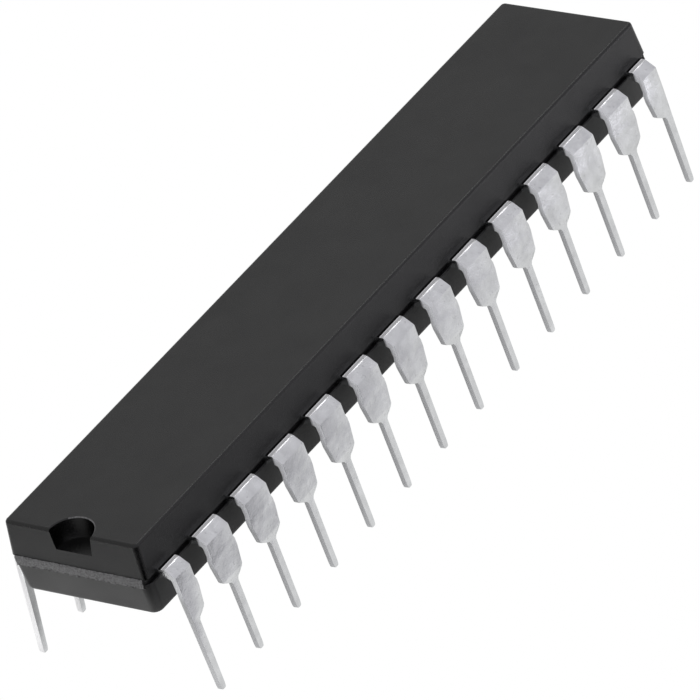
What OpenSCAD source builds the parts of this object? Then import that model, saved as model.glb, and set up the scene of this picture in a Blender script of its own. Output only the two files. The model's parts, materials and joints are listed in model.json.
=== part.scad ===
// Dual in-line integrated circuit with its lead frame, die and bond wires in a moulded body.
// X runs along the rows of leads with the notched end at -X, Y across them and Z up.
// The origin is midway between the rows, in the plane of the lead tips. Lengths are in mm.

/* [Moulded body] */
// Width of the upper half at its lower edge
body_w = 6.54; // [6.2:0.01:8]
// Distance from the last lead of a row to the end of the body
end_margin = 0.87; // [0.8:0.01:2]
// Height of the upper half above the lead frame
upper_h = 1.53; // [1.3:0.01:2.5]
// Height of the lower half below the lead frame
lower_h = 1.47; // [1:0.01:2.5]
// Draft angle of the end faces
end_draft = 5; // [2:0.5:10]
// Draft angle of the long sides
side_draft = 3.5; // [2:0.5:7]
// How far the lower half stands out past the upper one all round
mould_step = 0.03; // [0.01:0.01:0.1]
// How far the band between the leads is set back from the upper half's sides
web_recess = 0.15; // [0.05:0.01:0.25]
// Radius of the upper half's upright corners
upper_corner_r = 0.2; // [0.15:0.01:0.5]
// Radius of the lower half's upright corners
lower_corner_r = 0.4; // [0.3:0.01:0.6]
// Rounding of the edges of the top face
top_edge_r = 0.12; // [0.05:0.01:0.25]
// Rounding of the edges of the underside
bottom_edge_r = 0.2; // [0.05:0.01:0.3]
// Height of the trimmed moulding scar on each end, from the top of the lead frame down
scar_h = 0.4; // [0.1:0.05:0.6]
// How far the scar stands out from the end
scar_out = 0.02; // [0.01:0.01:0.1]

/* [Notch] */
// Radius of the half-round notch at the top face
notch_r = 1.04; // [0.5:0.02:1.5]
// Radius of the notch at its floor
notch_floor_r = 0.92; // [0.4:0.02:1.5]
// Depth of the notch below the top face
notch_depth = 0.88; // [0.3:0.02:1]

/* [Leads] */
// Leads in each row
pins_per_row = 14; // [12:2:16]
// Spacing of the leads along a row
lead_pitch = 2.54; // [2.3:0.01:3]
// Thickness of the lead frame
lead_t = 0.25; // [0.15:0.01:0.35]
// Distance from the body's side to the outer face of a lead just below its bend
lead_reach = 0.77; // [0.6:0.01:1.5]
// Inside radius of the bend
bend_r = 0.1; // [0.05:0.01:0.25]
// Angle by which the rows spread outwards towards their tips
lead_splay = 4; // [0:0.5:10]
// Width of a lead where it leaves the body
lead_w = 1.44; // [1:0.02:1.8]
// Width over the trimmed stubs of the dam bar
dam_w = 1.54; // [1.2:0.02:2]
// Height of the dam bar's stubs
dam_h = 0.3; // [0.1:0.05:0.5]
// Distance from the lead frame's underside down to the middle of the stubs
dam_drop = 0.82; // [0.7:0.01:1.2]
// Width of a lead just above its shoulder
shoulder_w = 1.3; // [0.9:0.02:1.8]
// Height of the shoulder's slope
shoulder_h = 0.32; // [0.2:0.02:0.45]
// Distance from the shoulders down to the tips
pin_l = 3.2; // [2.5:0.1:4.5]
// Gap between the shoulders and the underside of the body
standoff = 0.6; // [0.4:0.02:1]
// Width of the pin below the shoulder
pin_w = 0.4; // [0.35:0.01:0.6]
// Width of the pin at its very tip
tip_w = 0.24; // [0.15:0.01:0.35]
// Length of the taper at the tip
tip_l = 0.4; // [0.2:0.05:1]

/* [Lead frame inside] */
// How far a lead's full width reaches into the body
embed = 0.4; // [0.25:0.05:0.6]
// Width of a finger where it leaves its lead
finger_root_w = 0.4; // [0.25:0.01:0.5]
// Width of a finger at the end that is bonded
finger_w = 0.2; // [0.12:0.01:0.24]
// Gap between the fingers and the paddle or its tie bars
finger_gap = 0.3; // [0.2:0.01:0.4]
// Fingers of each quarter that end beside the paddle's short side
end_fingers = 4; // [3:1:5]
// Length of the die paddle
paddle_l = 5; // [4:0.1:5.6]
// Width of the die paddle
paddle_w = 3.4; // [3:0.1:3.6]
// How far the paddle is pressed down below the fingers
paddle_drop = 0.25; // [0.1:0.05:0.5]
// Width of the tie bars that carry the paddle
tie_w = 0.3; // [0.15:0.05:0.4]
// Length of the slope by which a tie bar comes down to the paddle
tie_slope_l = 0.4; // [0.2:0.05:1]
// Distance from the end of the body to the end of a tie bar
tie_setback = 0.5; // [0.3:0.05:2]

/* [Die and bonds] */
// Length of the die
die_l = 3.2; // [2:0.1:3.6]
// Width of the die
die_w = 2.4; // [1.6:0.1:2.6]
// Thickness of the die
die_t = 0.35; // [0.2:0.01:0.45]
// Thickness of the adhesive under the die
attach_t = 0.03; // [0.01:0.01:0.1]
// How far the adhesive spreads past the die
attach_spread = 0.12; // [0.05:0.01:0.2]
// Distance from the edge of the die to the middle of a bond
pad_inset = 0.12; // [0.08:0.01:0.3]
// Distance from the end of a finger to the middle of its bond
bond_back = 0.2; // [0.1:0.01:0.4]
// Diameter of a bond wire
wire_d = 0.03; // [0.02:0.005:0.04]
// Diameter of the ball that joins a wire to the die
ball_d = 0.09; // [0.07:0.005:0.12]
// Height of the ball
ball_h = 0.04; // [0.04:0.005:0.06]
// Rise of a wire's bow above the line between its two bonds
wire_rise = 0.3; // [0.15:0.01:0.4]

/* [Hidden] */
body_colour = [0.14, 0.14, 0.15];
tin_colour = [0.77, 0.77, 0.78];
frame_colour = [0.72, 0.52, 0.36];
adhesive_colour = [0.66, 0.66, 0.63];
die_colour = [0.35, 0.38, 0.45];
gold_colour = [0.9, 0.72, 0.3];

// Height of the land that the drafted sides start from, next to the lead frame
land_h = 0.02;
// Facets of the rounded corners, and of a wire and its bow
corner_fn = 32;
wire_fn = 24;
bow_fn = 72;
round_fn = 64;
// Length by which a cut passes the face that it opens
over = 1;
// Length by which pieces of one solid run into each other
merge = 0.05;
// Angle by which a wire's bow runs on before its foot is trimmed flat
foot_angle = 8;

pin_count = 2 * pins_per_row;
quarter = pins_per_row / 2;
row_half = (pins_per_row - 1) * lead_pitch / 2;
body_l = 2 * (row_half + end_margin);
lower_l = body_l + 2 * mould_step;
lower_w = body_w + 2 * mould_step;

shoulder_z = pin_l;
underside_z = shoulder_z + standoff;
frame_z = underside_z + lower_h;
frame_top_z = frame_z + lead_t;
top_z = frame_top_z + upper_h;
paddle_z = frame_z - paddle_drop;
attach_z = paddle_z + lead_t;
die_z = attach_z + attach_t;
die_top_z = die_z + die_t;

bend_out_r = bend_r + lead_t;
bend_y = body_w / 2 + lead_reach - bend_out_r * cos(lead_splay);
bend_z = frame_top_z - bend_out_r;
root_y = body_w / 2 - embed;
dam_z = frame_z - dam_drop;

first_tip_y = (tie_w + finger_w) / 2 + finger_gap;
end_tip_step = (paddle_w / 2 - first_tip_y) / (end_fingers - 1);
side_tip_step = paddle_l / 2 / (quarter - end_fingers - 0.5);

// Quarter k counts a row's leads from the -X end to the middle, for the row at -Y
function lead_x(k) = k * lead_pitch - row_half;
function finger_root(k) = [lead_x(k), -root_y - merge];
function finger_tip(k) = k < end_fingers
    ? [-paddle_l / 2 - finger_gap, -first_tip_y - k * end_tip_step]
    : [(k - end_fingers) * side_tip_step - paddle_l / 2, -paddle_w / 2 - finger_gap];
function die_pad(k) = k < end_fingers
    ? [pad_inset - die_l / 2, -(k + 0.5) / end_fingers * (die_w / 2 - pad_inset)]
    : [-(quarter - k - 0.5) / (quarter - end_fingers) * (die_l / 2 - 2 * pad_inset), pad_inset - die_w / 2];
function bond_point(k) = finger_tip(k) + bond_back * unit(finger_root(k) - finger_tip(k));
function unit(v) = v / norm(v);
function left_of(v) = [-v[1], v[0]];

// Lead p belongs to the row at -Y up to the last of that row, and to the one at +Y after it
function in_row(p) = (p - 1) % pins_per_row;
function quarter_index(p) = min(in_row(p), pins_per_row - 1 - in_row(p));
function lead_name(p) = str("lead_", p < 10 ? "0" : "", p);

// Puts a shape made for quarter k in the place of lead p
module at_lead(p) {
    rotate([0, 0, p > pins_per_row ? 180 : 0])
        mirror([in_row(p) >= quarter ? 1 : 0, 0, 0])
            children();
}

module four_corners(x, y) {
    for (sx = [-1, 1], sy = [-1, 1])
        translate([sx * x, sy * y, 0])
            children();
}

// One half of the moulding, standing on its widest face with its draft going in towards +Z
module mould_half(l, w, h, corner_r, edge_r) {
    hull() {
        four_corners(l / 2 - corner_r, w / 2 - corner_r)
            cylinder(h = land_h, r = corner_r, $fn = corner_fn);
        four_corners(l / 2 - h * tan(end_draft) - edge_r, w / 2 - h * tan(side_draft) - edge_r)
            translate([0, 0, h - edge_r])
                sphere(r = edge_r, $fn = corner_fn);
    }
}

// The moulding between the two halves, as thick as the lead frame
module web() {
    web_w = body_w - 2 * web_recess;
    translate([0, 0, frame_z - merge])
        linear_extrude(height = lead_t + 2 * merge)
            offset(r = upper_corner_r, $fn = corner_fn)
                square([body_l - 2 * upper_corner_r, web_w - 2 * upper_corner_r], center = true);
}

module end_scars() {
    scar_l = body_l + 2 * (mould_step + scar_out);
    scar_w = body_w - 2 * upper_corner_r;
    translate([-scar_l / 2, -scar_w / 2, frame_top_z - scar_h])
        cube([scar_l, scar_w, scar_h]);
}

module notch() {
    top_x = upper_h * tan(end_draft) - body_l / 2;
    slope = (notch_r - notch_floor_r) / notch_depth;
    translate([top_x, 0, top_z - notch_depth])
        cylinder(h = notch_depth + over, r1 = notch_floor_r, r2 = notch_r + over * slope, $fn = round_fn);
}

module body() {
    color(body_colour)
        difference() {
            union() {
                translate([0, 0, frame_top_z])
                    mould_half(body_l, body_w, upper_h, upper_corner_r, top_edge_r);
                translate([0, 0, frame_z])
                    mirror([0, 0, 1])
                        mould_half(lower_l, lower_w, lower_h, lower_corner_r, bottom_edge_r);
                web();
                end_scars();
            }
            notch();
            for (p = [1 : pin_count])
                lead(p);
            die_paddle();
            die_attach();
            die();
            bond_wires();
        }
}

// Section of a lead from the body to its tip, with Y to the right and Z up
module bent_strip() {
    leg_l = bend_z / cos(lead_splay) + over;
    sector = 2 * bend_out_r;
    translate([-bend_y, frame_z])
        square([bend_y - root_y, lead_t]);
    translate([-bend_y, bend_z]) {
        intersection() {
            difference() {
                circle(r = bend_out_r, $fn = round_fn);
                circle(r = bend_r, $fn = round_fn);
            }
            polygon([
                [0, 0], [0, sector], [-sector, sector],
                [-sector * cos(lead_splay), sector * sin(lead_splay)]
            ]);
        }
        rotate(-lead_splay)
            translate([-bend_out_r, -leg_l])
                square([lead_t, leg_l]);
    }
}

// One side of a lead's outline from the top down, as half widths and heights
function outline_side() = [
    [lead_w / 2, frame_top_z + over],
    [lead_w / 2, dam_z + dam_h],
    [dam_w / 2, dam_z + dam_h / 2],
    [dam_w / 2, dam_z - dam_h / 2],
    [shoulder_w / 2, shoulder_z + shoulder_h],
    [(shoulder_w + pin_w) / 4 + shoulder_h / 4, shoulder_z + shoulder_h / 2],
    [pin_w / 2, shoulder_z],
    [pin_w / 2, tip_l],
    [tip_w / 2, 0]
];

// The end leads have no wide part on the side of the body's end
module lead_outline(k) {
    inner = outline_side();
    outer = [for (c = inner) [k == 0 ? max(-pin_w / 2, -c[0]) : -c[0], c[1]]];
    polygon(concat(inner, [for (i = [len(outer) - 1 : -1 : 0]) outer[i]]));
}

module finger(k) {
    root = finger_root(k);
    tip = finger_tip(k);
    side = left_of(unit(tip - root));
    linear_extrude(height = lead_t)
        polygon([
            root + side * finger_root_w / 2, tip + side * finger_w / 2,
            tip - side * finger_w / 2, root - side * finger_root_w / 2
        ]);
}

module quarter_lead(k) {
    union() {
        translate([lead_x(k), 0, 0])
            intersection() {
                translate([-dam_w, 0, 0])
                    rotate([90, 0, 90])
                        linear_extrude(height = 2 * dam_w)
                            bent_strip();
                rotate([90, 0, 0])
                    linear_extrude(height = body_w + lead_reach + frame_top_z)
                        lead_outline(k);
            }
        translate([0, 0, frame_z])
            finger(k);
    }
}

module lead(p) {
    color(tin_colour)
        at_lead(p)
            quarter_lead(quarter_index(p));
}

// Side view of a tie bar, from inside the paddle's edge out to its end at -X
module tie_bar() {
    low_x = -paddle_l / 2;
    high_x = low_x - tie_slope_l;
    end_x = tie_setback - body_l / 2;
    path = [[low_x + merge, paddle_z], [low_x, paddle_z], [high_x, frame_z], [end_x, frame_z]];
    translate([0, tie_w / 2, 0])
        rotate([90, 0, 0])
            linear_extrude(height = tie_w)
                polygon(concat(path, [for (i = [len(path) - 1 : -1 : 0]) path[i] + [0, lead_t]]));
}

module die_paddle() {
    color(frame_colour)
        union() {
            translate([-paddle_l / 2, -paddle_w / 2, paddle_z])
                cube([paddle_l, paddle_w, lead_t]);
            tie_bar();
            mirror([1, 0, 0])
                tie_bar();
        }
}

module die_attach() {
    color(adhesive_colour)
        translate([-die_l / 2 - attach_spread, -die_w / 2 - attach_spread, attach_z])
            cube([die_l + 2 * attach_spread, die_w + 2 * attach_spread, attach_t]);
}

module die() {
    color(die_colour)
        translate([-die_l / 2, -die_w / 2, die_z])
            cube([die_l, die_w, die_t]);
}

// A wire is an arc that starts in its ball on the die and ends flat on its finger
module quarter_wire(k) {
    pad = die_pad(k);
    across = bond_point(k) - pad;
    run = norm(across);
    start_z = die_top_z + ball_h / 2;
    fall = frame_top_z - start_z;
    chord = norm([run, fall]);
    bow_r = (chord * chord / 4 + wire_rise * wire_rise) / (2 * wire_rise);
    half_angle = asin(chord / 2 / bow_r);
    tilt = atan2(fall, run);
    centre = [run / 2, (start_z + frame_top_z) / 2] - (bow_r - wire_rise) * [-sin(tilt), cos(tilt)];
    foot = 2 * ball_d;
    translate([pad[0], pad[1], 0])
        rotate([0, 0, atan2(across[1], across[0])]) {
            translate([0, 0, die_top_z])
                cylinder(h = ball_h, d = ball_d, $fn = wire_fn);
            difference() {
                translate([centre[0], 0, centre[1]])
                    rotate([90, 0, 0])
                        rotate([0, 0, 90 + tilt - half_angle - foot_angle])
                            rotate_extrude(angle = 2 * half_angle + foot_angle, $fn = bow_fn)
                                translate([bow_r, 0])
                                    circle(d = wire_d, $fn = wire_fn);
                translate([run - foot, -foot, frame_top_z - 2 * foot])
                    cube([2 * foot, 2 * foot, 2 * foot]);
            }
        }
}

module bond_wires() {
    color(gold_colour)
        for (p = [1 : pin_count])
            at_lead(p)
                quarter_wire(quarter_index(p));
}

body();
die_paddle();
die_attach();
die();
bond_wires();
for (p = [1 : pin_count])
    lead(p);
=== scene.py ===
"""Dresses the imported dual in-line integrated circuit: moulded body, tin-plated leads, inside parts, studio.

The frame's axes hold here too: X runs along the rows with the notched end at -X, Y across them and Z up,
with the lead tips at Z = 0. Sizes are kept in millimetres, and mm() turns them into the meshes' metres.
"""

import itertools
import json
import logging
import math
from collections.abc import Callable, Iterator
from contextlib import contextmanager
from dataclasses import asdict, dataclass, field
from enum import Enum

import bmesh
import bpy
from mathutils import Matrix, Vector

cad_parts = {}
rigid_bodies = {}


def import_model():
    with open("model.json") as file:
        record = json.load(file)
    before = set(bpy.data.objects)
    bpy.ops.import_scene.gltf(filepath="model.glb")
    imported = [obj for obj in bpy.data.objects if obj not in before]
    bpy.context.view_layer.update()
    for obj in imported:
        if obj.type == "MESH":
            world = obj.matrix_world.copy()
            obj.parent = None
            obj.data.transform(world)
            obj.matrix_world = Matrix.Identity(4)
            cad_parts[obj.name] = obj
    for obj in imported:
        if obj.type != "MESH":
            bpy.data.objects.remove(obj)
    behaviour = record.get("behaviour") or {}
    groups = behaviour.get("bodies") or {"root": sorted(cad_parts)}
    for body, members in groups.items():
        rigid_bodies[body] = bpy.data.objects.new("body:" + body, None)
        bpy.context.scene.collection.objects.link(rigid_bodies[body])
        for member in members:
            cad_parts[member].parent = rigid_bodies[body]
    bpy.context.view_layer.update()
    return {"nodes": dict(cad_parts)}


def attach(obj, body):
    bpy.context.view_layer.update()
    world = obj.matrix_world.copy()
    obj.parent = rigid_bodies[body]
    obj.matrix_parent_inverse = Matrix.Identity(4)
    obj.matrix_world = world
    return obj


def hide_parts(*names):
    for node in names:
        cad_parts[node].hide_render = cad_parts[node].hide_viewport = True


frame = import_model()

Color = tuple[float, float, float, float]
Element = bmesh.types.BMVert | bmesh.types.BMEdge | bmesh.types.BMFace
Material = bpy.types.Material
Node = bpy.types.Node
Piece = bpy.types.Object
Point = tuple[float, float, float]
Ramp = tuple[float, float, float, float]
Socket = bpy.types.NodeSocket
Sockets = dict[str, Socket]
Span = tuple[float, float]
Tree = bpy.types.NodeTree
Value = float | tuple[float, ...] | Socket

LOG = logging.getLogger("chip")
# The length MM and the welding distance are in metres, and TOUCH, NEAR and OVER in millimetres.
MM = 0.001
WELD = 1e-7
TOUCH = 0.001
NEAR = 0.002
OVER = 1.0
FACING = 0.9
WHITE: Color = (1.0, 1.0, 1.0, 1.0)
COPPER: Color = (0.72, 0.42, 0.27, 1.0)
# Breaks the painted shade along the mould edges into patches.
EDGE_SHADE_PATCHES: Ramp = (0.3, 0.6, 0.55, 1.0)


def mm(value: float) -> float:
    """Return in metres a length given in millimetres."""
    return value * MM


def mm_vector(x: float, y: float, z: float) -> Vector:
    """Return in metres a point given in millimetres."""
    return Vector((mm(x), mm(y), mm(z)))


def between(low: float, high: float, share: float) -> float:
    """Return the value that lies a share of the way from low to high."""
    return low + (high - low) * share


class Slot(Enum):
    """The record's material slots."""

    COMPOUND = "moulding_compound"
    TIN = "tin_plate"
    COPPER = "bare_copper"
    EPOXY = "silver_epoxy"
    SILICON = "silicon"
    GOLD = "gold_wire"


class Pick(Enum):
    """The kinds of mesh element that a modelling step can select."""

    VERTEX = "VERT"
    EDGE = "EDGE"
    FACE = "FACE"


def activate(*pieces: Piece) -> None:
    """Select only these pieces, with the first one active."""
    bpy.ops.object.select_all(action="DESELECT")
    for piece in pieces:
        piece.select_set(True)
    bpy.context.view_layer.objects.active = pieces[0]


@contextmanager
def editing(piece: Piece) -> Iterator[None]:
    """Open a piece's mesh in edit mode with nothing selected, and close it at the end.

    Args:
        piece: The object whose mesh is edited.
    """
    activate(piece)
    bpy.ops.object.mode_set(mode="EDIT")
    bpy.ops.mesh.select_all(action="DESELECT")
    yield
    bpy.ops.object.mode_set(mode="OBJECT")


def pick(piece: Piece, kind: Pick, test: Callable[[Element], bool]) -> None:
    """Select in edit mode only the elements that pass a test.

    Args:
        piece: The object being edited.
        kind: Which kind of element is selected.
        test: Takes a bmesh element and says whether it is wanted.
    """
    bpy.ops.mesh.select_mode(type=kind.value)
    bpy.ops.mesh.select_all(action="DESELECT")
    mesh = bmesh.from_edit_mesh(piece.data)
    elements = {Pick.VERTEX: mesh.verts, Pick.EDGE: mesh.edges, Pick.FACE: mesh.faces}[kind]
    for element in elements:
        if test(element):
            element.select_set(True)
    mesh.select_flush_mode()
    bmesh.update_edit_mesh(piece.data)


def extrude(move: Vector) -> None:
    """Extrude what is selected by a move in metres."""
    bpy.ops.mesh.extrude_region_move(TRANSFORM_OT_translate={"value": move})


def shift(move: Vector) -> None:
    """Move what is selected by a move in metres."""
    bpy.ops.transform.translate(value=move)


def stretch(scale: Point, centre: Vector) -> None:
    """Scale what is selected about a centre in metres."""
    bpy.ops.transform.resize(value=scale, center_override=centre)


def near(value: float, size: float) -> bool:
    """Say whether a coordinate in metres is at a size in millimetres."""
    return abs(value - mm(size)) < mm(NEAR)


def apply_modifier(piece: Piece, kind: str, **settings: object) -> None:
    """Add one modifier to a piece and apply it.

    Args:
        piece: The object that is changed.
        kind: Blender's name of the modifier type.
        **settings: The modifier's own values.
    """
    activate(piece)
    bpy.ops.object.modifier_add(type=kind)
    modifier = piece.modifiers[-1]
    for name, value in settings.items():
        setattr(modifier, name, value)
    bpy.ops.object.modifier_apply(modifier=modifier.name)


def combine(piece: Piece, tool: Piece, operation: str) -> None:
    """Cut a piece with a tool object, or join the two solids, and remove the tool.

    Args:
        piece: The object that is changed.
        tool: The cutting or added solid.
        operation: DIFFERENCE or UNION.
    """
    apply_modifier(piece, "BOOLEAN", object=tool, operation=operation, solver="EXACT")
    bpy.data.objects.remove(tool)


def settle(piece: Piece) -> None:
    """Merge a finished mesh's doubles and turn its faces outwards.

    Args:
        piece: The object that is changed.
    """
    with editing(piece):
        bpy.ops.mesh.select_all(action="SELECT")
        bpy.ops.mesh.remove_doubles(threshold=WELD)
        bpy.ops.mesh.normals_make_consistent(inside=False)


def smooth(piece: Piece, angle: float) -> None:
    """Smooth a piece's faces up to an angle, and let its broad faces keep their own direction.

    Args:
        piece: The finished object.
        angle: The largest angle between smoothed faces, in degrees.
    """
    activate(piece)
    bpy.ops.object.shade_smooth_by_angle(angle=math.radians(angle))
    apply_modifier(piece, "WEIGHTED_NORMAL", keep_sharp=True)


def wear(piece: Piece, material: Material) -> None:
    """Give a piece one material and no other."""
    piece.data.materials.clear()
    piece.data.materials.append(material)


@dataclass(frozen=True)
class Band:
    """A stretch in millimetres, over which a mask rises from start to full and falls from fade to end."""

    start: float
    full: float
    fade: float
    end: float


class Graph:
    """Adds and joins the nodes of one shader tree."""

    def __init__(self, tree: Tree) -> None:
        """Keep the tree that the nodes go into."""
        self.tree = tree

    def add(self, kind: str, **settings: object) -> Node:
        """Add a node and set its plain properties.

        Args:
            kind: The node's type name without ShaderNode.
            **settings: Properties of the node.

        Returns:
            The new node.
        """
        node = self.tree.nodes.new("ShaderNode" + kind)
        for name, value in settings.items():
            setattr(node, name, value)
        return node

    def feed(self, source: Value, target: Socket) -> None:
        """Link a socket to an input, or set the input to a plain value.

        Args:
            source: The socket or the value.
            target: The input.
        """
        if isinstance(source, Socket):
            self.tree.links.new(source, target)
        else:
            target.default_value = source

    def calc(self, operation: str, *values: Value) -> Socket:
        """Add a Math node.

        Args:
            operation: Blender's name of the operation.
            *values: Sockets or numbers for its inputs.

        Returns:
            The result's socket.
        """
        node = self.add("Math", operation=operation)
        for value, target in zip(values, node.inputs):
            self.feed(value, target)
        return node.outputs[0]

    def ramp(self, value: Value, low: float, high: float, start: float = 0.0, end: float = 1.0) -> Socket:
        """Map a value smoothly from one range to another, held at both ends.

        Args:
            value: The socket to map.
            low: The value that gives start.
            high: The value that gives end.
            start: The result at and below low.
            end: The result at and above high.

        Returns:
            The result's socket.
        """
        node = self.add("MapRange", interpolation_type="SMOOTHSTEP")
        for source, target in zip((value, low, high, start, end), node.inputs):
            self.feed(source, target)
        return node.outputs[0]

    def band(self, value: Value, band: Band) -> Socket:
        """Return a mask that is 1 inside a band of a coordinate."""
        falling = self.ramp(value, band.end, band.fade)
        return self.calc("MULTIPLY", self.ramp(value, band.start, band.full), falling)

    def towards(self, value: Value, goal: Value, share: Value) -> Socket:
        """Bring a value towards a goal by a share from 0 to 1."""
        return self.calc("MULTIPLY_ADD", self.calc("SUBTRACT", goal, value), share, value)

    def blend(self, factor: Value, first: Value, second: Value) -> Socket:
        """Mix two colours.

        Args:
            factor: How much of the second colour shows.
            first: The colour at factor 0.
            second: The colour at factor 1.

        Returns:
            The mixed colour's socket.
        """
        node = self.add("Mix", data_type="RGBA")
        for source, name in ((factor, "Factor_Float"), (first, "A_Color"), (second, "B_Color")):
            self.feed(source, next(s for s in node.inputs if s.identifier == name))
        return next(s for s in node.outputs if s.identifier == "Result_Color")

    def scaled(self, color: Value, factor: Value) -> Socket:
        """Multiply a colour by a factor.

        Args:
            color: The colour, as a socket or three numbers.
            factor: The socket of the factor.

        Returns:
            The result's socket.
        """
        node = self.add("VectorMath", operation="SCALE")
        self.feed(color, node.inputs[0])
        self.feed(factor, node.inputs["Scale"])
        return node.outputs[0]

    def noise(self, size: Value, detail: float = 3.0, rough: float = 0.5) -> Socket:
        """Add a noise pattern in the object's own coordinates.

        Args:
            size: The pattern's grain in millimetres.
            detail: How many finer layers it has.
            rough: How strong the finer layers are.

        Returns:
            The pattern's value, from 0 to 1.
        """
        node = self.add("TexNoise")
        self.feed(self.place(), node.inputs["Vector"])
        self.feed(self.calc("DIVIDE", 1.0, size), node.inputs["Scale"])
        self.feed(detail, node.inputs["Detail"])
        self.feed(rough, node.inputs["Roughness"])
        return node.outputs["Fac"]

    def place(self) -> Socket:
        """Return the object's own coordinates in millimetres.

        Returns:
            The coordinates' socket.
        """
        mapping = self.add("Mapping")
        self.feed(self.add("TexCoord").outputs["Object"], mapping.inputs["Vector"])
        self.feed((1 / MM, 1 / MM, 1 / MM), mapping.inputs["Scale"])
        return mapping.outputs["Vector"]

    def axes(self, place: Socket) -> tuple[Socket, Socket, Socket]:
        """Split coordinates into X, Y and Z.

        Args:
            place: The coordinates' socket.

        Returns:
            The sockets of X, Y and Z.
        """
        node = self.add("SeparateXYZ")
        self.feed(place, node.inputs[0])
        return tuple(node.outputs)

    def painted(self, name: str) -> Socket:
        """Return the value that a mesh attribute has been painted with."""
        return self.add("Attribute", attribute_name=name).outputs["Fac"]


def new_group(name: str, inputs: dict[str, str], outputs: dict[str, str]) -> tuple[Graph, Sockets, Sockets]:
    """Start a shader node group with named inputs and outputs.

    Args:
        name: The group's name.
        inputs: For each input its socket kind.
        outputs: For each output its socket kind.

    Returns:
        The group's graph, its input sockets by name and its output sockets by name.
    """
    tree = bpy.data.node_groups.new(name, "ShaderNodeTree")
    for way, sockets in (("INPUT", inputs), ("OUTPUT", outputs)):
        for label, kind in sockets.items():
            tree.interface.new_socket(name=label, in_out=way, socket_type="NodeSocket" + kind)
    given = tree.nodes.new("NodeGroupInput").outputs
    out = tree.nodes.new("NodeGroupOutput").inputs
    return Graph(tree), {s.name: s for s in given if s.name}, {s.name: s for s in out if s.name}


def mottling_group() -> Tree:
    """Make the group that varies a colour in soft clouds and fine grain, as plating and moulding do.

    Returns:
        The group, with the varied colour, its clouds and its grain as outputs.
    """
    graph, given, out = new_group(
        "mottling",
        {"Color": "Color", "Cloud Size": "Float", "Cloud Depth": "Float", "Grain Size": "Float",
         "Grain Depth": "Float"},
        {"Color": "Color", "Clouds": "Float", "Grain": "Float"})
    clouds = graph.noise(given["Cloud Size"], detail=2.0)
    grain = graph.noise(given["Grain Size"], detail=4.0, rough=0.65)
    centred = (graph.calc("SUBTRACT", clouds, 0.5), graph.calc("SUBTRACT", grain, 0.5))
    swing = graph.calc("ADD", graph.calc("MULTIPLY", centred[0], given["Cloud Depth"]),
                       graph.calc("MULTIPLY", centred[1], given["Grain Depth"]))
    graph.feed(graph.scaled(given["Color"], graph.calc("ADD", 1.0, swing)), out["Color"])
    graph.feed(clouds, out["Clouds"])
    graph.feed(grain, out["Grain"])
    return graph.tree


def painted_edge_shade_group() -> Tree:
    """Make the group that breaks up an edge mask and turns it into painted shade on a colour and a smoother
    roughness.

    Returns:
        The group, with a colour and a roughness as outputs.
    """
    graph, given, out = new_group(
        "painted_edge_shade",
        {"Mask": "Float", "Color": "Color", "Rubbed Color": "Color", "Roughness": "Float",
         "Rubbed Roughness": "Float", "Patch Size": "Float"},
        {"Color": "Color", "Roughness": "Float"})
    patches = graph.ramp(graph.noise(given["Patch Size"]), *EDGE_SHADE_PATCHES)
    rubbed = graph.calc("MULTIPLY", given["Mask"], patches)
    graph.feed(graph.blend(rubbed, given["Color"], given["Rubbed Color"]), out["Color"])
    graph.feed(graph.towards(given["Roughness"], given["Rubbed Roughness"], rubbed), out["Roughness"])
    return graph.tree


@dataclass(frozen=True)
class Mottle:
    """The sizes in millimetres and the depths of a finish's soft clouds and fine grain."""

    cloud_size: float
    cloud_depth: float
    grain_size: float
    grain_depth: float


@dataclass
class Workshop:
    """The shader groups that the finishes share, each made once."""

    mottling: Tree = field(default_factory=mottling_group)
    painted_edge_shade: Tree = field(default_factory=painted_edge_shade_group)

    def use(self, graph: Graph, group: Tree, **inputs: Value) -> Node:
        """Place a shared group in a material.

        Args:
            graph: The material's graph.
            group: One of the shared groups.
            **inputs: The group's inputs, with underscores for spaces.

        Returns:
            The group's node.
        """
        node = graph.add("Group", node_tree=group)
        for name, value in inputs.items():
            graph.feed(value, node.inputs[name.replace("_", " ").title()])
        return node

    def mottle(self, graph: Graph, color: Color, look: Mottle) -> tuple[Socket, Socket, Socket]:
        """Mottle a material's colour, and return that colour, its clouds and its grain."""
        return tuple(self.use(graph, self.mottling, color=color, **asdict(look)).outputs)


def start_material(slot: Slot) -> tuple[Material, Graph, Node]:
    """Start a material with one Principled shader.

    Args:
        slot: The slot that gives the material its name.

    Returns:
        The material, its graph and the shader node.
    """
    material = bpy.data.materials.new(slot.value)
    material.use_nodes = True
    graph = Graph(material.node_tree)
    shader = next(n for n in material.node_tree.nodes if n.type == "BSDF_PRINCIPLED")
    return material, graph, shader


def bump(graph: Graph, shader: Node, pattern: Value, height: float) -> None:
    """Raise a surface by a pattern.

    Args:
        graph: The material's graph.
        shader: The Principled shader.
        pattern: The pattern, from 0 to 1.
        height: How high the pattern stands, in millimetres.
    """
    node = graph.add("Bump")
    graph.feed(mm(height), node.inputs["Distance"])
    graph.feed(pattern, node.inputs["Height"])
    graph.feed(node.outputs["Normal"], shader.inputs["Normal"])


def grey(value: float, tint: float = 0.0) -> Color:
    """Return a grey with a little blue added by the tint."""
    return (value * (1 - tint), value, value * (1 + tint), 1.0)


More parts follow.
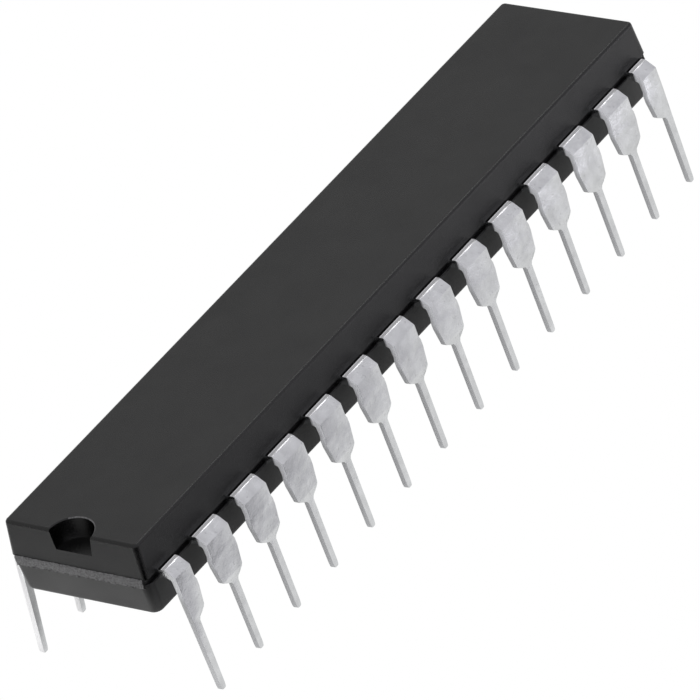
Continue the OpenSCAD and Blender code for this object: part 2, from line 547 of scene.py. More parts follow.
@dataclass(frozen=True)
class MouldingCompound:
    """Black epoxy moulding compound: matt charcoal faces, shinier mould edges and rough broken scars. The
    mould edges and the notch's wall are darkened by painted shade, and part of the notch's lip is lightened
    by a painted highlight.
    """

    shade: float = 0.003
    tint: float = 0.03
    look: Mottle = Mottle(cloud_size=1.6, cloud_depth=0.45, grain_size=0.05, grain_depth=0.9)
    roughness: float = 0.42
    roughness_swing: float = 0.2
    grain_height: float = 0.012
    # The mould edges get painted shade, a darker colour, and a glossier finish.
    edge_shade: float = 0.0005
    edge_roughness: float = 0.15
    edge_patch: float = 0.5
    # The notch's wall gets painted shade, a near black, and a glossy finish.
    notch_shade: float = 0.0003
    notch_roughness: float = 0.03
    # A share of the broken colour lightens part of the notch's lip as a painted highlight.
    lip_share: float = 0.9
    scar_shade: float = 0.195
    scar_roughness: float = 0.8
    scar_low: Span = (5.09, 5.16)
    crumb_size: float = 0.12
    crumb_height: float = 0.3
    speckle_size: float = 0.07
    speckle: Ramp = (0.35, 0.65, 0.55, 1.3)

    def _scar(self, graph: Graph) -> Socket:
        """Mask the scars, whose lower edge crumbles away, and the painted highlight on part of the notch's
        lip.

        Args:
            graph: The material's graph.

        Returns:
            The mask's socket.
        """
        crumbs = graph.noise(self.crumb_size, detail=3.0, rough=0.7)
        height = graph.calc("MULTIPLY_ADD", crumbs, self.crumb_height, graph.axes(graph.place())[2])
        low, high = (z + self.crumb_height / 2 for z in self.scar_low)
        scar = graph.calc("MULTIPLY", graph.painted("broken_scar"), graph.ramp(height, low, high))
        return graph.calc("MULTIPLY_ADD", graph.painted("notch_lip"), self.lip_share, scar)

    def _broken(self, graph: Graph) -> Socket:
        """Return the speckled colour of broken compound."""
        speckle = graph.ramp(graph.noise(self.speckle_size, detail=4.0, rough=0.7), *self.speckle)
        return graph.scaled(grey(self.scar_shade)[:3], speckle)

    def material(self, workshop: Workshop) -> Material:
        """Make the compound's material.

        Args:
            workshop: The shared shader groups.

        Returns:
            The material.
        """
        material, graph, shader = start_material(Slot.COMPOUND)
        mottled, clouds, grain = workshop.mottle(graph, grey(self.shade, self.tint), self.look)
        # Painted shade darkens the mould edges in patches, which also turn glossier.
        rubbed = workshop.use(graph, workshop.painted_edge_shade, mask=graph.painted("mould_edge"),
                              color=mottled, rubbed_color=grey(self.edge_shade, self.tint),
                              roughness=self.roughness, rubbed_roughness=self.edge_roughness,
                              patch_size=self.edge_patch)
        # The scar mask also carries the painted highlight on part of the notch's lip.
        scar, notch = self._scar(graph), graph.painted("notch_wall")
        # Painted shade darkens the notch's wall.
        notch_shaded = graph.blend(notch, rubbed.outputs["Color"], grey(self.notch_shade))
        graph.feed(graph.blend(scar, notch_shaded, self._broken(graph)), shader.inputs["Base Color"])
        swing = graph.calc("MULTIPLY_ADD", clouds, self.roughness_swing, -self.roughness_swing / 2)
        smoother = graph.calc("MULTIPLY", notch, self.notch_roughness - self.roughness)
        base = graph.calc("ADD", graph.calc("ADD", rubbed.outputs["Roughness"], swing), smoother)
        rougher = graph.calc("SUBTRACT", self.scar_roughness, rubbed.outputs["Roughness"])
        graph.feed(graph.calc("MULTIPLY_ADD", scar, rougher, base), shader.inputs["Roughness"])
        bump(graph, shader, grain, self.grain_height)
        return material


@dataclass(frozen=True)
class TinPlate:
    """Matt tin plate over the lead frame: cloudy light grey with small marks, and bare copper in the body.

    Bands and spans across the chip are distances from its middle. The crest is the top of a lead's run, with
    a dark line of painted shade where it leaves the body, a bright rim of painted highlight and a crown
    behind it that painted shade darkens and that is rougher and less metallic.
    """

    shade: float = 0.72
    tint: float = 0.012
    look: Mottle = Mottle(cloud_size=0.55, cloud_depth=0.42, grain_size=0.06, grain_depth=0.16)
    roughness: float = 0.17
    roughness_swing: float = 0.12
    dent_share: float = 3.0
    dent_height: float = 0.009
    mark_size: float = 0.13
    mark_shade: float = 0.34
    mark_roughness: float = 0.3
    marks: Ramp = (0.64, 0.72, 0.0, 0.3)
    plated: Span = (3.05, 3.1)
    crest_z: Span = (5.63, 5.64)
    # Painted shade darkens the crown, a painted highlight lightens its rim, and painted shade makes a dark
    # line where the lead leaves the body.
    crown: Band = Band(3.52, 3.53, 3.69, 3.7)
    crown_shade: float = 0.62
    rim: Band = Band(3.51, 3.52, 3.565, 3.575)
    rim_shade: float = 1.0
    clamp: Band = Band(3.395, 3.41, 3.52, 3.535)
    clamp_shade: float = 0.03
    worn: Band = Band(3.51, 3.52, 3.68, 3.7)
    worn_metal: float = 0.05
    worn_roughness: float = 0.6
    # The sheared flanks get painted light: darker low down, lighter near the bend and lightest in the back
    # row.
    flank: Span = (3.68, 3.84)
    flank_z: Span = (4.0, 4.8)
    flank_back: Span = (2.0, 3.0)
    flank_shade: Span = (0.58, 0.98)
    flank_back_shade: float = 1.0

    def _crest(self, graph: Graph, color: Socket, out: Socket, crest: Socket) -> Socket:
        """Add the crown's painted shade, the rim's painted highlight and the dark line of painted shade by
        the body to the plate's colour.

        Args:
            graph: The material's graph.
            color: The plate's colour.
            out: The distance from the chip's middle.
            crest: The mask of the crest's height.

        Returns:
            The colour's socket.
        """
        bands = ((self.crown, self.crown_shade), (self.rim, self.rim_shade), (self.clamp, self.clamp_shade))
        for band, shade in bands:
            mask = graph.calc("MULTIPLY", graph.band(out, band), crest)
            color = graph.blend(mask, color, grey(shade))
        return color

    def _flank(self, graph: Graph, y: Socket, z: Socket) -> Socket:
        """Work out the painted light on the sheared flanks: darker low down, lighter near the bend and
        lightest in the back row.

        Args:
            graph: The material's graph.
            y: The place across the chip.
            z: The height.

        Returns:
            The colour's socket.
        """
        low, high = (grey(shade, self.tint) for shade in self.flank_shade)
        front = graph.blend(graph.ramp(z, *self.flank_z), low, high)
        return graph.blend(graph.ramp(y, *self.flank_back), front, grey(self.flank_back_shade))

    def material(self, workshop: Workshop) -> Material:
        """Make the plate's material.

        Args:
            workshop: The shared shader groups.

        Returns:
            The material.
        """
        material, graph, shader = start_material(Slot.TIN)
        _, y, z = graph.axes(graph.place())
        out, crest = graph.calc("ABSOLUTE", y), graph.ramp(z, *self.crest_z)
        mottled, clouds, grain = workshop.mottle(graph, grey(self.shade, self.tint), self.look)
        marks = graph.ramp(graph.noise(self.mark_size, detail=2.0), *self.marks)
        color = graph.blend(marks, mottled, grey(self.mark_shade))
        # Painted shade and a painted highlight on the crest.
        color = self._crest(graph, color, out, crest)
        # Painted light on the sheared flanks, which also turn rougher and less metallic.
        flank = graph.calc("MULTIPLY", graph.painted("cut_side"), graph.ramp(out, *self.flank))
        color = graph.blend(flank, color, self._flank(graph, y, z))
        graph.feed(graph.blend(graph.ramp(out, *self.plated), COPPER, color), shader.inputs["Base Color"])
        worn = graph.calc("MULTIPLY", graph.band(out, self.worn), crest)
        worn = graph.calc("MAXIMUM", worn, flank)
        graph.feed(graph.towards(1.0, self.worn_metal, worn), shader.inputs["Metallic"])
        smoothest = self.roughness - self.roughness_swing / 2
        cloudy = graph.calc("MULTIPLY_ADD", clouds, self.roughness_swing, smoothest)
        marked = graph.calc("MULTIPLY_ADD", marks, self.mark_roughness, cloudy)
        graph.feed(graph.towards(marked, self.worn_roughness, worn), shader.inputs["Roughness"])
        bump(graph, shader, graph.calc("MULTIPLY_ADD", clouds, self.dent_share, grain), self.dent_height)
        return material


@dataclass(frozen=True)
class PlainMetal:
    """A metal of the inside parts, with a light mottling."""

    slot: Slot
    color: Color
    roughness: float
    cloud_size: float = 0.6
    roughness_swing: float = 0.15
    grain_height: float = 0.002

    def material(self, workshop: Workshop) -> Material:
        """Make the metal's material.

        Args:
            workshop: The shared shader groups.

        Returns:
            The material.
        """
        material, graph, shader = start_material(self.slot)
        look = Mottle(cloud_size=self.cloud_size, cloud_depth=0.25, grain_size=0.05, grain_depth=0.15)
        mottled, clouds, grain = workshop.mottle(graph, self.color, look)
        graph.feed(mottled, shader.inputs["Base Color"])
        graph.feed(1.0, shader.inputs["Metallic"])
        cloudy = graph.calc("MULTIPLY_ADD", clouds, self.roughness_swing, self.roughness)
        graph.feed(cloudy, shader.inputs["Roughness"])
        bump(graph, shader, grain, self.grain_height)
        return material


@dataclass(frozen=True)
class SilverEpoxy:
    """Silver-filled adhesive under the die: grey paste full of small flakes."""

    shade: float = 0.5
    roughness: float = 0.55
    look: Mottle = Mottle(cloud_size=0.3, cloud_depth=0.2, grain_size=0.02, grain_depth=0.8)
    flakes: Ramp = (0.45, 0.6, 0.0, 0.8)
    grain_height: float = 0.004

    def material(self, workshop: Workshop) -> Material:
        """Make the adhesive's material.

        Args:
            workshop: The shared shader groups.

        Returns:
            The material.
        """
        material, graph, shader = start_material(Slot.EPOXY)
        mottled, _, grain = workshop.mottle(graph, grey(self.shade), self.look)
        graph.feed(mottled, shader.inputs["Base Color"])
        graph.feed(graph.ramp(grain, *self.flakes), shader.inputs["Metallic"])
        graph.feed(self.roughness, shader.inputs["Roughness"])
        bump(graph, shader, grain, self.grain_height)
        return material


@dataclass(frozen=True)
class SiliconDie:
    """Polished silicon with a fine grid of circuit blocks on it."""

    color: Color = (0.16, 0.18, 0.24, 1.0)
    trace: Color = (0.42, 0.40, 0.46, 1.0)
    look: Mottle = Mottle(cloud_size=0.5, cloud_depth=0.5, grain_size=0.02, grain_depth=0.3)
    block: float = 0.16
    unevenness: float = 0.55
    lines: Span = (0.3, 0.42)
    metal: float = 0.7
    roughness: float = 0.16
    roughness_swing: float = 0.1

    def material(self, workshop: Workshop) -> Material:
        """Make the die's material.

        Args:
            workshop: The shared shader groups.

        Returns:
            The material.
        """
        material, graph, shader = start_material(Slot.SILICON)
        blocks = graph.add("TexVoronoi", feature="F1", distance="CHEBYCHEV")
        graph.feed(graph.place(), blocks.inputs["Vector"])
        graph.feed(1 / self.block, blocks.inputs["Scale"])
        graph.feed(self.unevenness, blocks.inputs["Randomness"])
        lines = graph.ramp(blocks.outputs["Distance"], *self.lines)
        mottled, _, grain = workshop.mottle(graph, self.color, self.look)
        graph.feed(graph.blend(lines, mottled, self.trace), shader.inputs["Base Color"])
        graph.feed(self.metal, shader.inputs["Metallic"])
        grainy = graph.calc("MULTIPLY_ADD", grain, self.roughness_swing, self.roughness)
        graph.feed(grainy, shader.inputs["Roughness"])
        return material


@dataclass
class MouldedBody:
    """The moulded body: two drafted halves on the lead frame, the notch and the scars of the moulding."""

    material: Material
    length: float = 34.76
    width: float = 6.54
    underside_z: float = 3.8
    lower_h: float = 1.47
    frame_t: float = 0.25
    upper_h: float = 1.53
    step: float = 0.03
    end_draft: float = 5.0
    side_draft: float = 3.5
    web_recess: float = 0.15
    web_end_recess: float = 0.004
    web_root: float = 0.3
    upper_corner_r: float = 0.2
    lower_corner_r: float = 0.4
    top_edge_r: float = 0.12
    bottom_edge_r: float = 0.2
    ledge_edge_r: float = 0.05
    corner_steps: int = 8
    edge_steps: int = 4
    ledge_steps: int = 3
    notch_r: float = 1.0
    notch_floor_r: float = 0.87
    notch_depth: float = 0.86
    notch_lip: float = 0.04
    notch_steps: int = 96
    # How far a lip face must turn towards +Y and -X to carry the painted highlight.
    lip_turn: float = 0.1
    scar_h: float = 0.44
    scar_out: float = 0.02
    scar_in: float = 0.12
    scar_skin: float = 0.06
    scar_foot: float = 0.12
    scar_rim: float = 0.03
    scar_ragged: float = 0.03
    scar_coarse: float = 0.014
    scar_seat: float = 0.012
    scar_rise: float = 0.02
    scar_cuts: tuple[int, int] = (110, 7)
    scar_seeds: tuple[int, int] = (11, 23)
    smooth_angle: float = 32.0
    slack: float = 0.01

    @property
    def frame_z(self) -> float:
        """Return the height of the lead frame's underside."""
        return self.underside_z + self.lower_h

    @property
    def frame_top_z(self) -> float:
        """Return the height of the lead frame's upper face."""
        return self.frame_z + self.frame_t

    @property
    def top_z(self) -> float:
        """Return the height of the top face."""
        return self.frame_top_z + self.upper_h

    def _drafted(self, size: Span, rise: float) -> Span:
        """Return the length and width of a plate after its drafted sides have gone up or down by a rise."""
        return (size[0] - 2 * abs(rise) * math.tan(math.radians(self.end_draft)),
                size[1] - 2 * abs(rise) * math.tan(math.radians(self.side_draft)))

    def _grow(self, rise: float, size: Span, new_size: Span) -> None:
        """Extrude the selected face upright, or down where the rise is negative, and give it a new size."""
        extrude(mm_vector(0, 0, rise))
        stretch((new_size[0] / size[0], new_size[1] / size[1], 1), Vector())

    def _half(self, size: Span, z: float, rise: float, corner_r: float, edge_r: float) -> Piece:
        """Model one half of the body, from a round-cornered plate at its widest face outwards.

        Args:
            size: Its length and width at the widest face.
            z: The height of that face.
            rise: How far the half goes up, or down where negative.
            corner_r: The radius of its upright corners.
            edge_r: The rounding of its far edges.

        Returns:
            The half, closed.
        """
        bpy.ops.mesh.primitive_plane_add(size=1, location=mm_vector(0, 0, z))
        half = bpy.context.object
        bpy.ops.object.transform_apply(location=True)
        with editing(half):
            bpy.ops.mesh.select_all(action="SELECT")
            stretch((mm(size[0]), mm(size[1]), 1), mm_vector(0, 0, z))
            bpy.ops.mesh.bevel(offset_type="OFFSET", offset=mm(corner_r), segments=self.corner_steps,
                               affect="VERTICES")
            pick(half, Pick.FACE, lambda face: True)
            self._grow(rise, size, self._drafted(size, rise))
            pick(half, Pick.EDGE, lambda edge: all(near(v.co.z, z + rise) for v in edge.verts))
            bpy.ops.mesh.bevel(offset_type="OFFSET", offset=mm(edge_r), segments=self.edge_steps,
                               affect="EDGES")
        return half

    def _pick_open_face(self, half: Piece, z: float) -> None:
        """Select the one broad face of a half at a height."""
        broad = mm(self.length) * mm(self.width) / 2
        pick(half, Pick.FACE, lambda face: near(face.calc_center_median().z, z) and face.calc_area() > broad)

    def _shell(self) -> Piece:
        """Model both halves and the recessed web that joins them.

        Returns:
            The closed body, still without notch and scars.
        """
        size = (self.length, self.width)
        lower_size = (self.length + 2 * self.step, self.width + 2 * self.step)
        web = (self.length - 2 * self.web_end_recess, self.width - 2 * self.web_recess)
        upper = self._half(size, self.frame_top_z, self.upper_h, self.upper_corner_r, self.top_edge_r)
        with editing(upper):
            self._pick_open_face(upper, self.frame_top_z)
            self._grow(0.0, size, web)
            self._grow(-self.frame_t - self.web_root, web, web)
        settle(upper)
        lower = self._half(lower_size, self.frame_z, -self.lower_h, self.lower_corner_r, self.bottom_edge_r)
        with editing(lower):
            self._pick_open_face(lower, self.frame_z)
            bpy.ops.mesh.region_to_loop()
            bpy.ops.mesh.bevel(offset_type="OFFSET", offset=mm(self.ledge_edge_r), segments=self.ledge_steps,
                               affect="EDGES")
        settle(lower)
        combine(upper, lower, "UNION")
        settle(upper)
        return upper

    def _notch_cutter(self) -> Piece:
        """Model the cutter of the half-round notch, flared at the top face for its small lip.

        Returns:
            The cutter.
        """
        end_x = -self._drafted((self.length, self.width), self.upper_h)[0] / 2
        straight = self.notch_depth - self.notch_lip
        rim_r = between(self.notch_floor_r, self.notch_r, straight / self.notch_depth)
        floor_z = self.top_z - self.notch_depth
        bpy.ops.mesh.primitive_cone_add(
            vertices=self.notch_steps, radius1=mm(self.notch_floor_r), radius2=mm(rim_r), depth=mm(straight),
            location=mm_vector(end_x, 0, floor_z + straight / 2))
        cutter = bpy.context.object
        bpy.ops.object.transform_apply(location=True)
        with editing(cutter):
            pick(cutter, Pick.FACE, lambda face: face.normal.z > FACING)
            for rise, flare in ((self.notch_lip, 1 + self.notch_lip / rim_r), (OVER, 1.0)):
                extrude(mm_vector(0, 0, rise))
                stretch((flare, flare, 1), mm_vector(end_x, 0, 0))
        return cutter

    def _scar(self, side: int, seed: int) -> Piece:
        """Model the ragged strip that trimming leaves on one end.

        Args:
            side: -1 for the notched end, 1 for the other.
            seed: The seed of its broken surface.

        Returns:
            The strip.
        """
        outer = self.length / 2 + self.step + self.scar_out
        depth = self.scar_out + self.step + self.scar_in
        width = self.width - 2 * self.upper_corner_r
        low, top = self.frame_top_z - self.scar_h, self.frame_top_z
        centre = mm_vector(side * (outer - depth / 2), 0, low + self.scar_h / 2)
        bpy.ops.mesh.primitive_cube_add(size=1, location=centre)
        scar = bpy.context.object
        bpy.ops.object.transform_apply(location=True)

        def pick_skin(from_z: float, to_z: float) -> None:
            """Select the vertices near the strip's outer face between two heights."""
            pick(scar, Pick.VERTEX, lambda vert: abs(vert.co.x) > mm(outer - self.scar_skin)
                 and mm(from_z) < vert.co.z < mm(to_z))

        with editing(scar):
            bpy.ops.mesh.select_all(action="SELECT")
            stretch((mm(depth), mm(width), mm(self.scar_h)), centre)
            for axis, length, cuts in ((1, width, self.scar_cuts[0]), (2, self.scar_h, self.scar_cuts[1])):
                pick(scar, Pick.EDGE,
                     lambda edge: abs(edge.verts[0].co[axis] - edge.verts[1].co[axis]) > mm(length / 2))
                bpy.ops.mesh.subdivide(number_cuts=cuts)
            pick(scar, Pick.VERTEX, lambda vert: near(vert.co.x, side * outer))
            bpy.ops.transform.vertex_random(offset=mm(self.scar_coarse), uniform=1.0, seed=seed)
            pick_skin(low - OVER, low + self.scar_foot)
            bpy.ops.transform.vertex_random(offset=mm(self.scar_ragged), uniform=1.0, seed=seed + 1)
            pick_skin(top - self.scar_rim, top + OVER)
            shift(mm_vector(-side * (self.step + self.scar_out - self.scar_seat), 0, self.scar_rise))
            pick_skin(low - OVER, low + self.scar_rim)
            shift(mm_vector(-side * (self.scar_out + self.scar_ragged), 0, 0))
        return scar

    def _marks(self, face: bpy.types.MeshPolygon) -> dict[str, bool]:
        """Say what a face belongs to.

        Args:
            face: A face of the finished body.

        Returns:
            For each attribute whether it marks the face.
        """
        x, y, z = (abs(c) / MM for c in face.center)
        up = z - self.frame_top_z
        end, side = (size / 2 for size in self._drafted((self.length, self.width), max(up, 0)))
        corner_r, reach = self.upper_corner_r, self.notch_r + self.notch_lip
        lip_z, floor_z = self.top_z - self.notch_lip, self.top_z - self.notch_depth
        rounded = z > self.top_z - self.top_edge_r and max(x - end, y - side) > -self.top_edge_r
        upright = up > 0 and x > end - corner_r and y > side - corner_r
        in_band = -self.scar_h - 2 * self.scar_ragged < up < self.scar_ragged + self.scar_rise
        in_notch = face.center.x < 0 and end - reach < x < end - self.slack and y < reach
        # Lip faces turned this way carry the painted highlight.
        turned = face.normal.y - face.normal.x > self.lip_turn
        # The mould edges and the notch's wall are masks for painted shade.
        return {
            "mould_edge": (rounded or upright) and z < self.top_z,
            "broken_scar": in_band and x > self.length / 2 and y < side - corner_r + self.scar_ragged,
            "notch_wall": in_notch and floor_z - self.slack < z < lip_z,
            "notch_lip": in_notch and turned and lip_z < z < self.top_z - TOUCH,
        }

    def _paint(self, body: Piece) -> None:
        """Mark for the material the mould edges and the notch's wall, which get painted shade, the scars, and
        the part of the notch's lip that gets a painted highlight.

        Args:
            body: The finished body.
        """
        mesh = body.data
        for name in self._marks(mesh.polygons[0]):
            mesh.attributes.new(name, "FLOAT", "FACE")
        for face in mesh.polygons:
            for name, marked in self._marks(face).items():
                mesh.attributes[name].data[face.index].value = float(marked)

    def build(self) -> Piece:
        """Model the body and dress it.

        Returns:
            The finished piece.
        """
        body = self._shell()
        combine(body, self._notch_cutter(), "DIFFERENCE")
        settle(body)
        scars = [self._scar(side, seed) for side, seed in zip((-1, 1), self.scar_seeds)]
        activate(body, *scars)
        bpy.ops.object.join()
        smooth(body, self.smooth_angle)
        self._paint(body)
        body.name = "moulded_body"
        wear(body, self.material)
        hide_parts("body")
        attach(body, "root")
        LOG.info("moulded_body: %d faces", len(body.data.polygons))
        return body


@dataclass(frozen=True)
class Station:
    """One cross-section of a lead: its outer and inner edge, as distances from the middle and heights."""

    outer: Span
    inner: Span
    left_w: float
    right_w: float

    @property
    def width(self) -> float:
        """Return the section's full width."""
        return self.left_w + self.right_w

    @property
    def aside(self) -> float:
        """Return how far the section's middle lies to the right of the lead's."""
        return (self.right_w - self.left_w) / 2

    def outer_point(self) -> Vector:
        """Return the middle of the outer edge."""
        return mm_vector(0, -self.outer[0], self.outer[1])

    def inner_point(self) -> Vector:
        """Return the middle of the inner edge."""
        return mm_vector(0, -self.inner[0], self.inner[1])


@dataclass(frozen=True)
class Bend:
    """Where a row's leads turn down, and how far they lean outwards from there."""

    y: float
    z: float
    splay: float

    def leg_y(self, z: float) -> float:
        """Return the distance of a leg's outer face from the middle at a height."""
        return self.y + (self.z - z) * math.tan(math.radians(self.splay))


@dataclass
class LeadRows:
    """The 28 leads of the lead frame, each stamped and bent, with its finger inside the body.

    The neck and the tip are lists of shares of their height and of their width. Each step of the crest has
    the outer face's share of the way out and its drop, then the same two of the inner face. Each step of the
    bend has the outer face's distance back from the leg and its rise, then the inner face's share and drop.
    """

    material: Material
    per_row: int = 14
    pitch: float = 2.54
    thick: float = 0.25
    frame_z: float = 5.27
    body_half_w: float = 3.27
    crest_z: float = 5.655
    front_bend: Bend = Bend(y=4.125, z=5.34, splay=3.6)
    back_bend: Bend = Bend(y=3.78, z=5.34, splay=6.7)
    lead_w: float = 1.44
    dam_w: float = 1.54
    dam_h: float = 0.3
    dam_z: float = 4.45
    shoulder_w: float = 1.3
    shoulder_h: float = 0.32
    shoulder_z: float = 3.2
    pin_w: float = 0.34
    pin_end_w: float = 0.28
    end_half_w: float = 0.24
    end_from_z: float = 1.9
    end_flare: float = 0.03
    tip_w: float = 0.17
    tip_l: float = 0.22
    embed: float = 0.4
    weld: float = 0.05
    finger_root_w: float = 0.4
    finger_w: float = 0.2
    finger_gap: float = 0.3
    end_fingers: int = 4
    paddle_l: float = 5.0
    paddle_w: float = 3.4
    tie_w: float = 0.3
    edge_r: float = 0.035
    edge_steps: int = 2
    edge_angle: float = 50.0
    flank_turn: float = 0.85
    smooth_angle: float = 35.0
    neck: tuple[Span, ...] = ((1.0, 1.0), (0.78, 0.875), (0.4, 0.5), (0.1, 0.1458), (-0.25, 0.0))
    tip: tuple[Span, ...] = ((1.0, 1.0), (0.3, 0.6818), (0.0, 0.0))
    crest_steps: tuple[tuple[float, ...], ...] = (
        (0.23, 0.0, 0.26, 0.0), (0.47, 0.006, 0.40, 0.0), (0.50, 0.014, 0.46, 0.0), (0.54, 0.028, 0.51, 0.01),
        (0.57, 0.045, 0.55, 0.02))
    bend_steps: tuple[tuple[float, ...], ...] = (
        (0.09, 0.062, 0.83, 0.05), (0.045, 0.03, 0.93, 0.08), (0.015, -0.012, 0.98, 0.12),
        (0.0, -0.065, 1.0, 0.16), (0.0, -0.1, 1.01, 0.2))

    @property
    def quarter(self) -> int:
        """Return how many leads a quarter of the package has."""
        return self.per_row // 2

    @property
    def root_y(self) -> float:
        """Return the distance from the middle to the inner end of a lead's full width."""
        return self.body_half_w - self.embed

    @property
    def mid_z(self) -> float:
        """Return the height of the middle of the lead frame's thickness."""
        return self.frame_z + self.thick / 2

    def lead_x(self, k: int) -> float:
        """Return the place along X of the lead k of a quarter."""
        return k * self.pitch - (self.per_row - 1) * self.pitch / 2

    def finger_tip(self, k: int) -> Vector:
        """Work out where a finger ends, beside the die paddle.

        Args:
            k: The lead's number in its quarter.

        Returns:
            The point, in millimetres.
        """
        first_y = (self.tie_w + self.finger_w) / 2 + self.finger_gap
        end_step = (self.paddle_w / 2 - first_y) / (self.end_fingers - 1)
        side_step = self.paddle_l / 2 / (self.quarter - self.end_fingers - 0.5)
        if k < self.end_fingers:
            return Vector((-self.paddle_l / 2 - self.finger_gap, -first_y - k * end_step, self.mid_z))
        return Vector(((k - self.end_fingers) * side_step - self.paddle_l / 2,
                       -self.paddle_w / 2 - self.finger_gap, self.mid_z))

    def _widths(self) -> list[Span]:
        """List the heights and half widths of a lead, from the bend down to the tip.

        Returns:
            The pairs of height and half width.
        """
        dam = [(self.dam_z + self.dam_h, self.lead_w / 2), (self.dam_z + self.dam_h / 2, self.dam_w / 2),
               (self.dam_z - self.dam_h / 2, self.dam_w / 2)]
        neck = [(self.shoulder_z + up * self.shoulder_h, between(self.pin_w, self.shoulder_w, share) / 2)
                for up, share in self.neck]
        tip = [(up * self.tip_l, between(self.tip_w, self.pin_end_w, share) / 2) for up, share in self.tip]
        return dam + neck + tip

    def _section(self, outer: Span, inner: Span, half: float, end: bool) -> Station:
        """Describe one cross-section, narrower on the left where the lead is an end one.

        Args:
            outer: The outer edge's distance from the middle and height.
            inner: The inner edge's distance from the middle and height.
            half: The half width of a lead that isn't an end one.
            end: Whether the lead stands at the body's end.

        Returns:
            The section.
        """
        cap = self.pin_w / 2 + max(outer[1] - self.end_from_z, 0) * self.end_flare
        left = min(cap, self.end_half_w) if end and outer[1] > self.tip_l + self.dam_h else half
        return Station(outer, inner, left, half)

    def _sections(self, bend: Bend, end: bool) -> list[Station]:
        """List the sections from inside the body, out of it, round the bend and down to the tip.

        Args:
            bend: The row's bend.
            end: Whether the lead stands at the body's end.

        Returns:
            The sections.
        """
        low, crest, edge = self.frame_z, self.crest_z, self.body_half_w
        reach, inner_reach = bend.y - edge, bend.y - self.thick - edge
        rows = [((edge - self.weld, crest), (edge - self.weld, low))]
        for out, drop, under, under_drop in self.crest_steps:
            rows.append(((edge + out * reach, crest - drop), (edge + under * inner_reach, low - under_drop)))
        for back, rise, under, under_drop in self.bend_steps:
            outer = (bend.leg_y(bend.z + rise) if rise < 0 else bend.y - back, bend.z + rise)
            rows.append((outer, (edge + under * inner_reach, low - under_drop)))
        sections = [self._section(outer, inner, self.lead_w / 2, end) for outer, inner in rows]
        angle = math.radians(bend.splay)
        drop = self.thick * math.sin(angle) / 2
        for z, half in self._widths():
            inner_y = bend.leg_y(z) - self.thick * math.cos(angle)
            at = max(z, drop)
            sections.append(self._section((bend.leg_y(z), at + drop), (inner_y, at - drop), half, end))
        return sections

    def _strip(self, bend: Bend, end: bool) -> Piece:
        """Model a full-width lead at X = 0, from inside the body down to its tip.

        Args:
            bend: The row's bend.
            end: Whether the lead stands at the body's end.

        Returns:
            The lead, without its finger.
        """
        start = mm_vector(0, -self.root_y, self.mid_z)
        bpy.ops.mesh.primitive_plane_add(size=1, location=start, rotation=(math.radians(90), 0, 0))
        strip = bpy.context.object
        bpy.ops.object.transform_apply(location=True, rotation=True)
        top = self.frame_z + self.thick
        at = self._section((self.root_y, top), (self.root_y, self.frame_z), self.lead_w / 2, end)
        with editing(strip):
            pick(strip, Pick.FACE, lambda face: True)
            stretch((mm(at.width), 1, mm(self.thick)), start)
            shift(mm_vector(at.aside, 0, 0))
            for station in self._sections(bend, end):
                move = station.outer_point() - at.outer_point()
                extrude(move)
                stretch((station.width / at.width, 1, 1), mm_vector(at.aside, 0, 0))
                shift(mm_vector(station.aside - at.aside, 0, 0))
                carried = at.inner_point() + move
                pick(strip, Pick.VERTEX, lambda vert: (vert.co.yz - carried.yz).length < mm(TOUCH))
                shift(station.inner_point() - carried)
                centre = (station.outer_point() + station.inner_point()) / 2
                pick(strip, Pick.FACE, lambda face: abs(face.normal.x) < 1 - FACING
                     and (face.calc_center_median().yz - centre.yz).length < mm(NEAR))
                at = station
        return strip

    def _finger(self, lead: Piece, k: int) -> None:
        """Draw the finger of lead k inwards from its root.

        Args:
            lead: The lead, already in its place.
            k: The lead's number in its quarter.
        """
        root = Vector((self.lead_x(k), -self.root_y, self.mid_z))
        tip = self.finger_tip(k)
        along = (tip - root).normalized()
        turn = math.atan2(along.x, along.y)
        with editing(lead):
            pick(lead, Pick.FACE, lambda face: face.normal.y > FACING
                 and near(face.calc_center_median().y, -self.root_y))
            mesh = bmesh.from_edit_mesh(lead.data)
            root_face = next(face for face in mesh.faces if face.select)
            xs = [vert.co.x / MM for vert in root_face.verts]
            wide, centre = max(xs) - min(xs), (max(xs) + min(xs)) / 2
            extrude(Vector())
            stretch((self.finger_root_w / wide, 1, 1), mm_vector(centre, -self.root_y, self.mid_z))
            shift(mm_vector(root.x - centre, 0, 0))
            extrude((tip - root) * MM)
            stretch((self.finger_w / self.finger_root_w, 1, 1), tip * MM)
            bpy.ops.transform.rotate(value=turn, orient_axis="Z", center_override=tip * MM)

    def _paint(self, lead: Piece) -> None:
        """Mark the sheared flanks for the material.

        Args:
            lead: The finished lead.
        """
        flank = lead.data.attributes.new("cut_side", "FLOAT", "FACE").data
        for face in lead.data.polygons:
            flank[face.index].value = float(abs(face.normal.x) > self.flank_turn)

    def _pattern(self, k: int, bend: Bend) -> Piece:
        """Model and dress lead k of the quarter at -X and -Y.

        Args:
            k: The lead's number in its quarter.
            bend: The row's bend.

        Returns:
            The lead.
        """
        pattern = self._strip(bend, end=k == 0)
        with editing(pattern):
            bpy.ops.mesh.select_all(action="SELECT")
            shift(mm_vector(self.lead_x(k), 0, 0))
        settle(pattern)
        self._finger(pattern, k)
        settle(pattern)
        apply_modifier(pattern, "BEVEL", width=mm(self.edge_r), segments=self.edge_steps,
                       limit_method="ANGLE", angle_limit=math.radians(self.edge_angle))
        wear(pattern, self.material)
        self._paint(pattern)
        return pattern

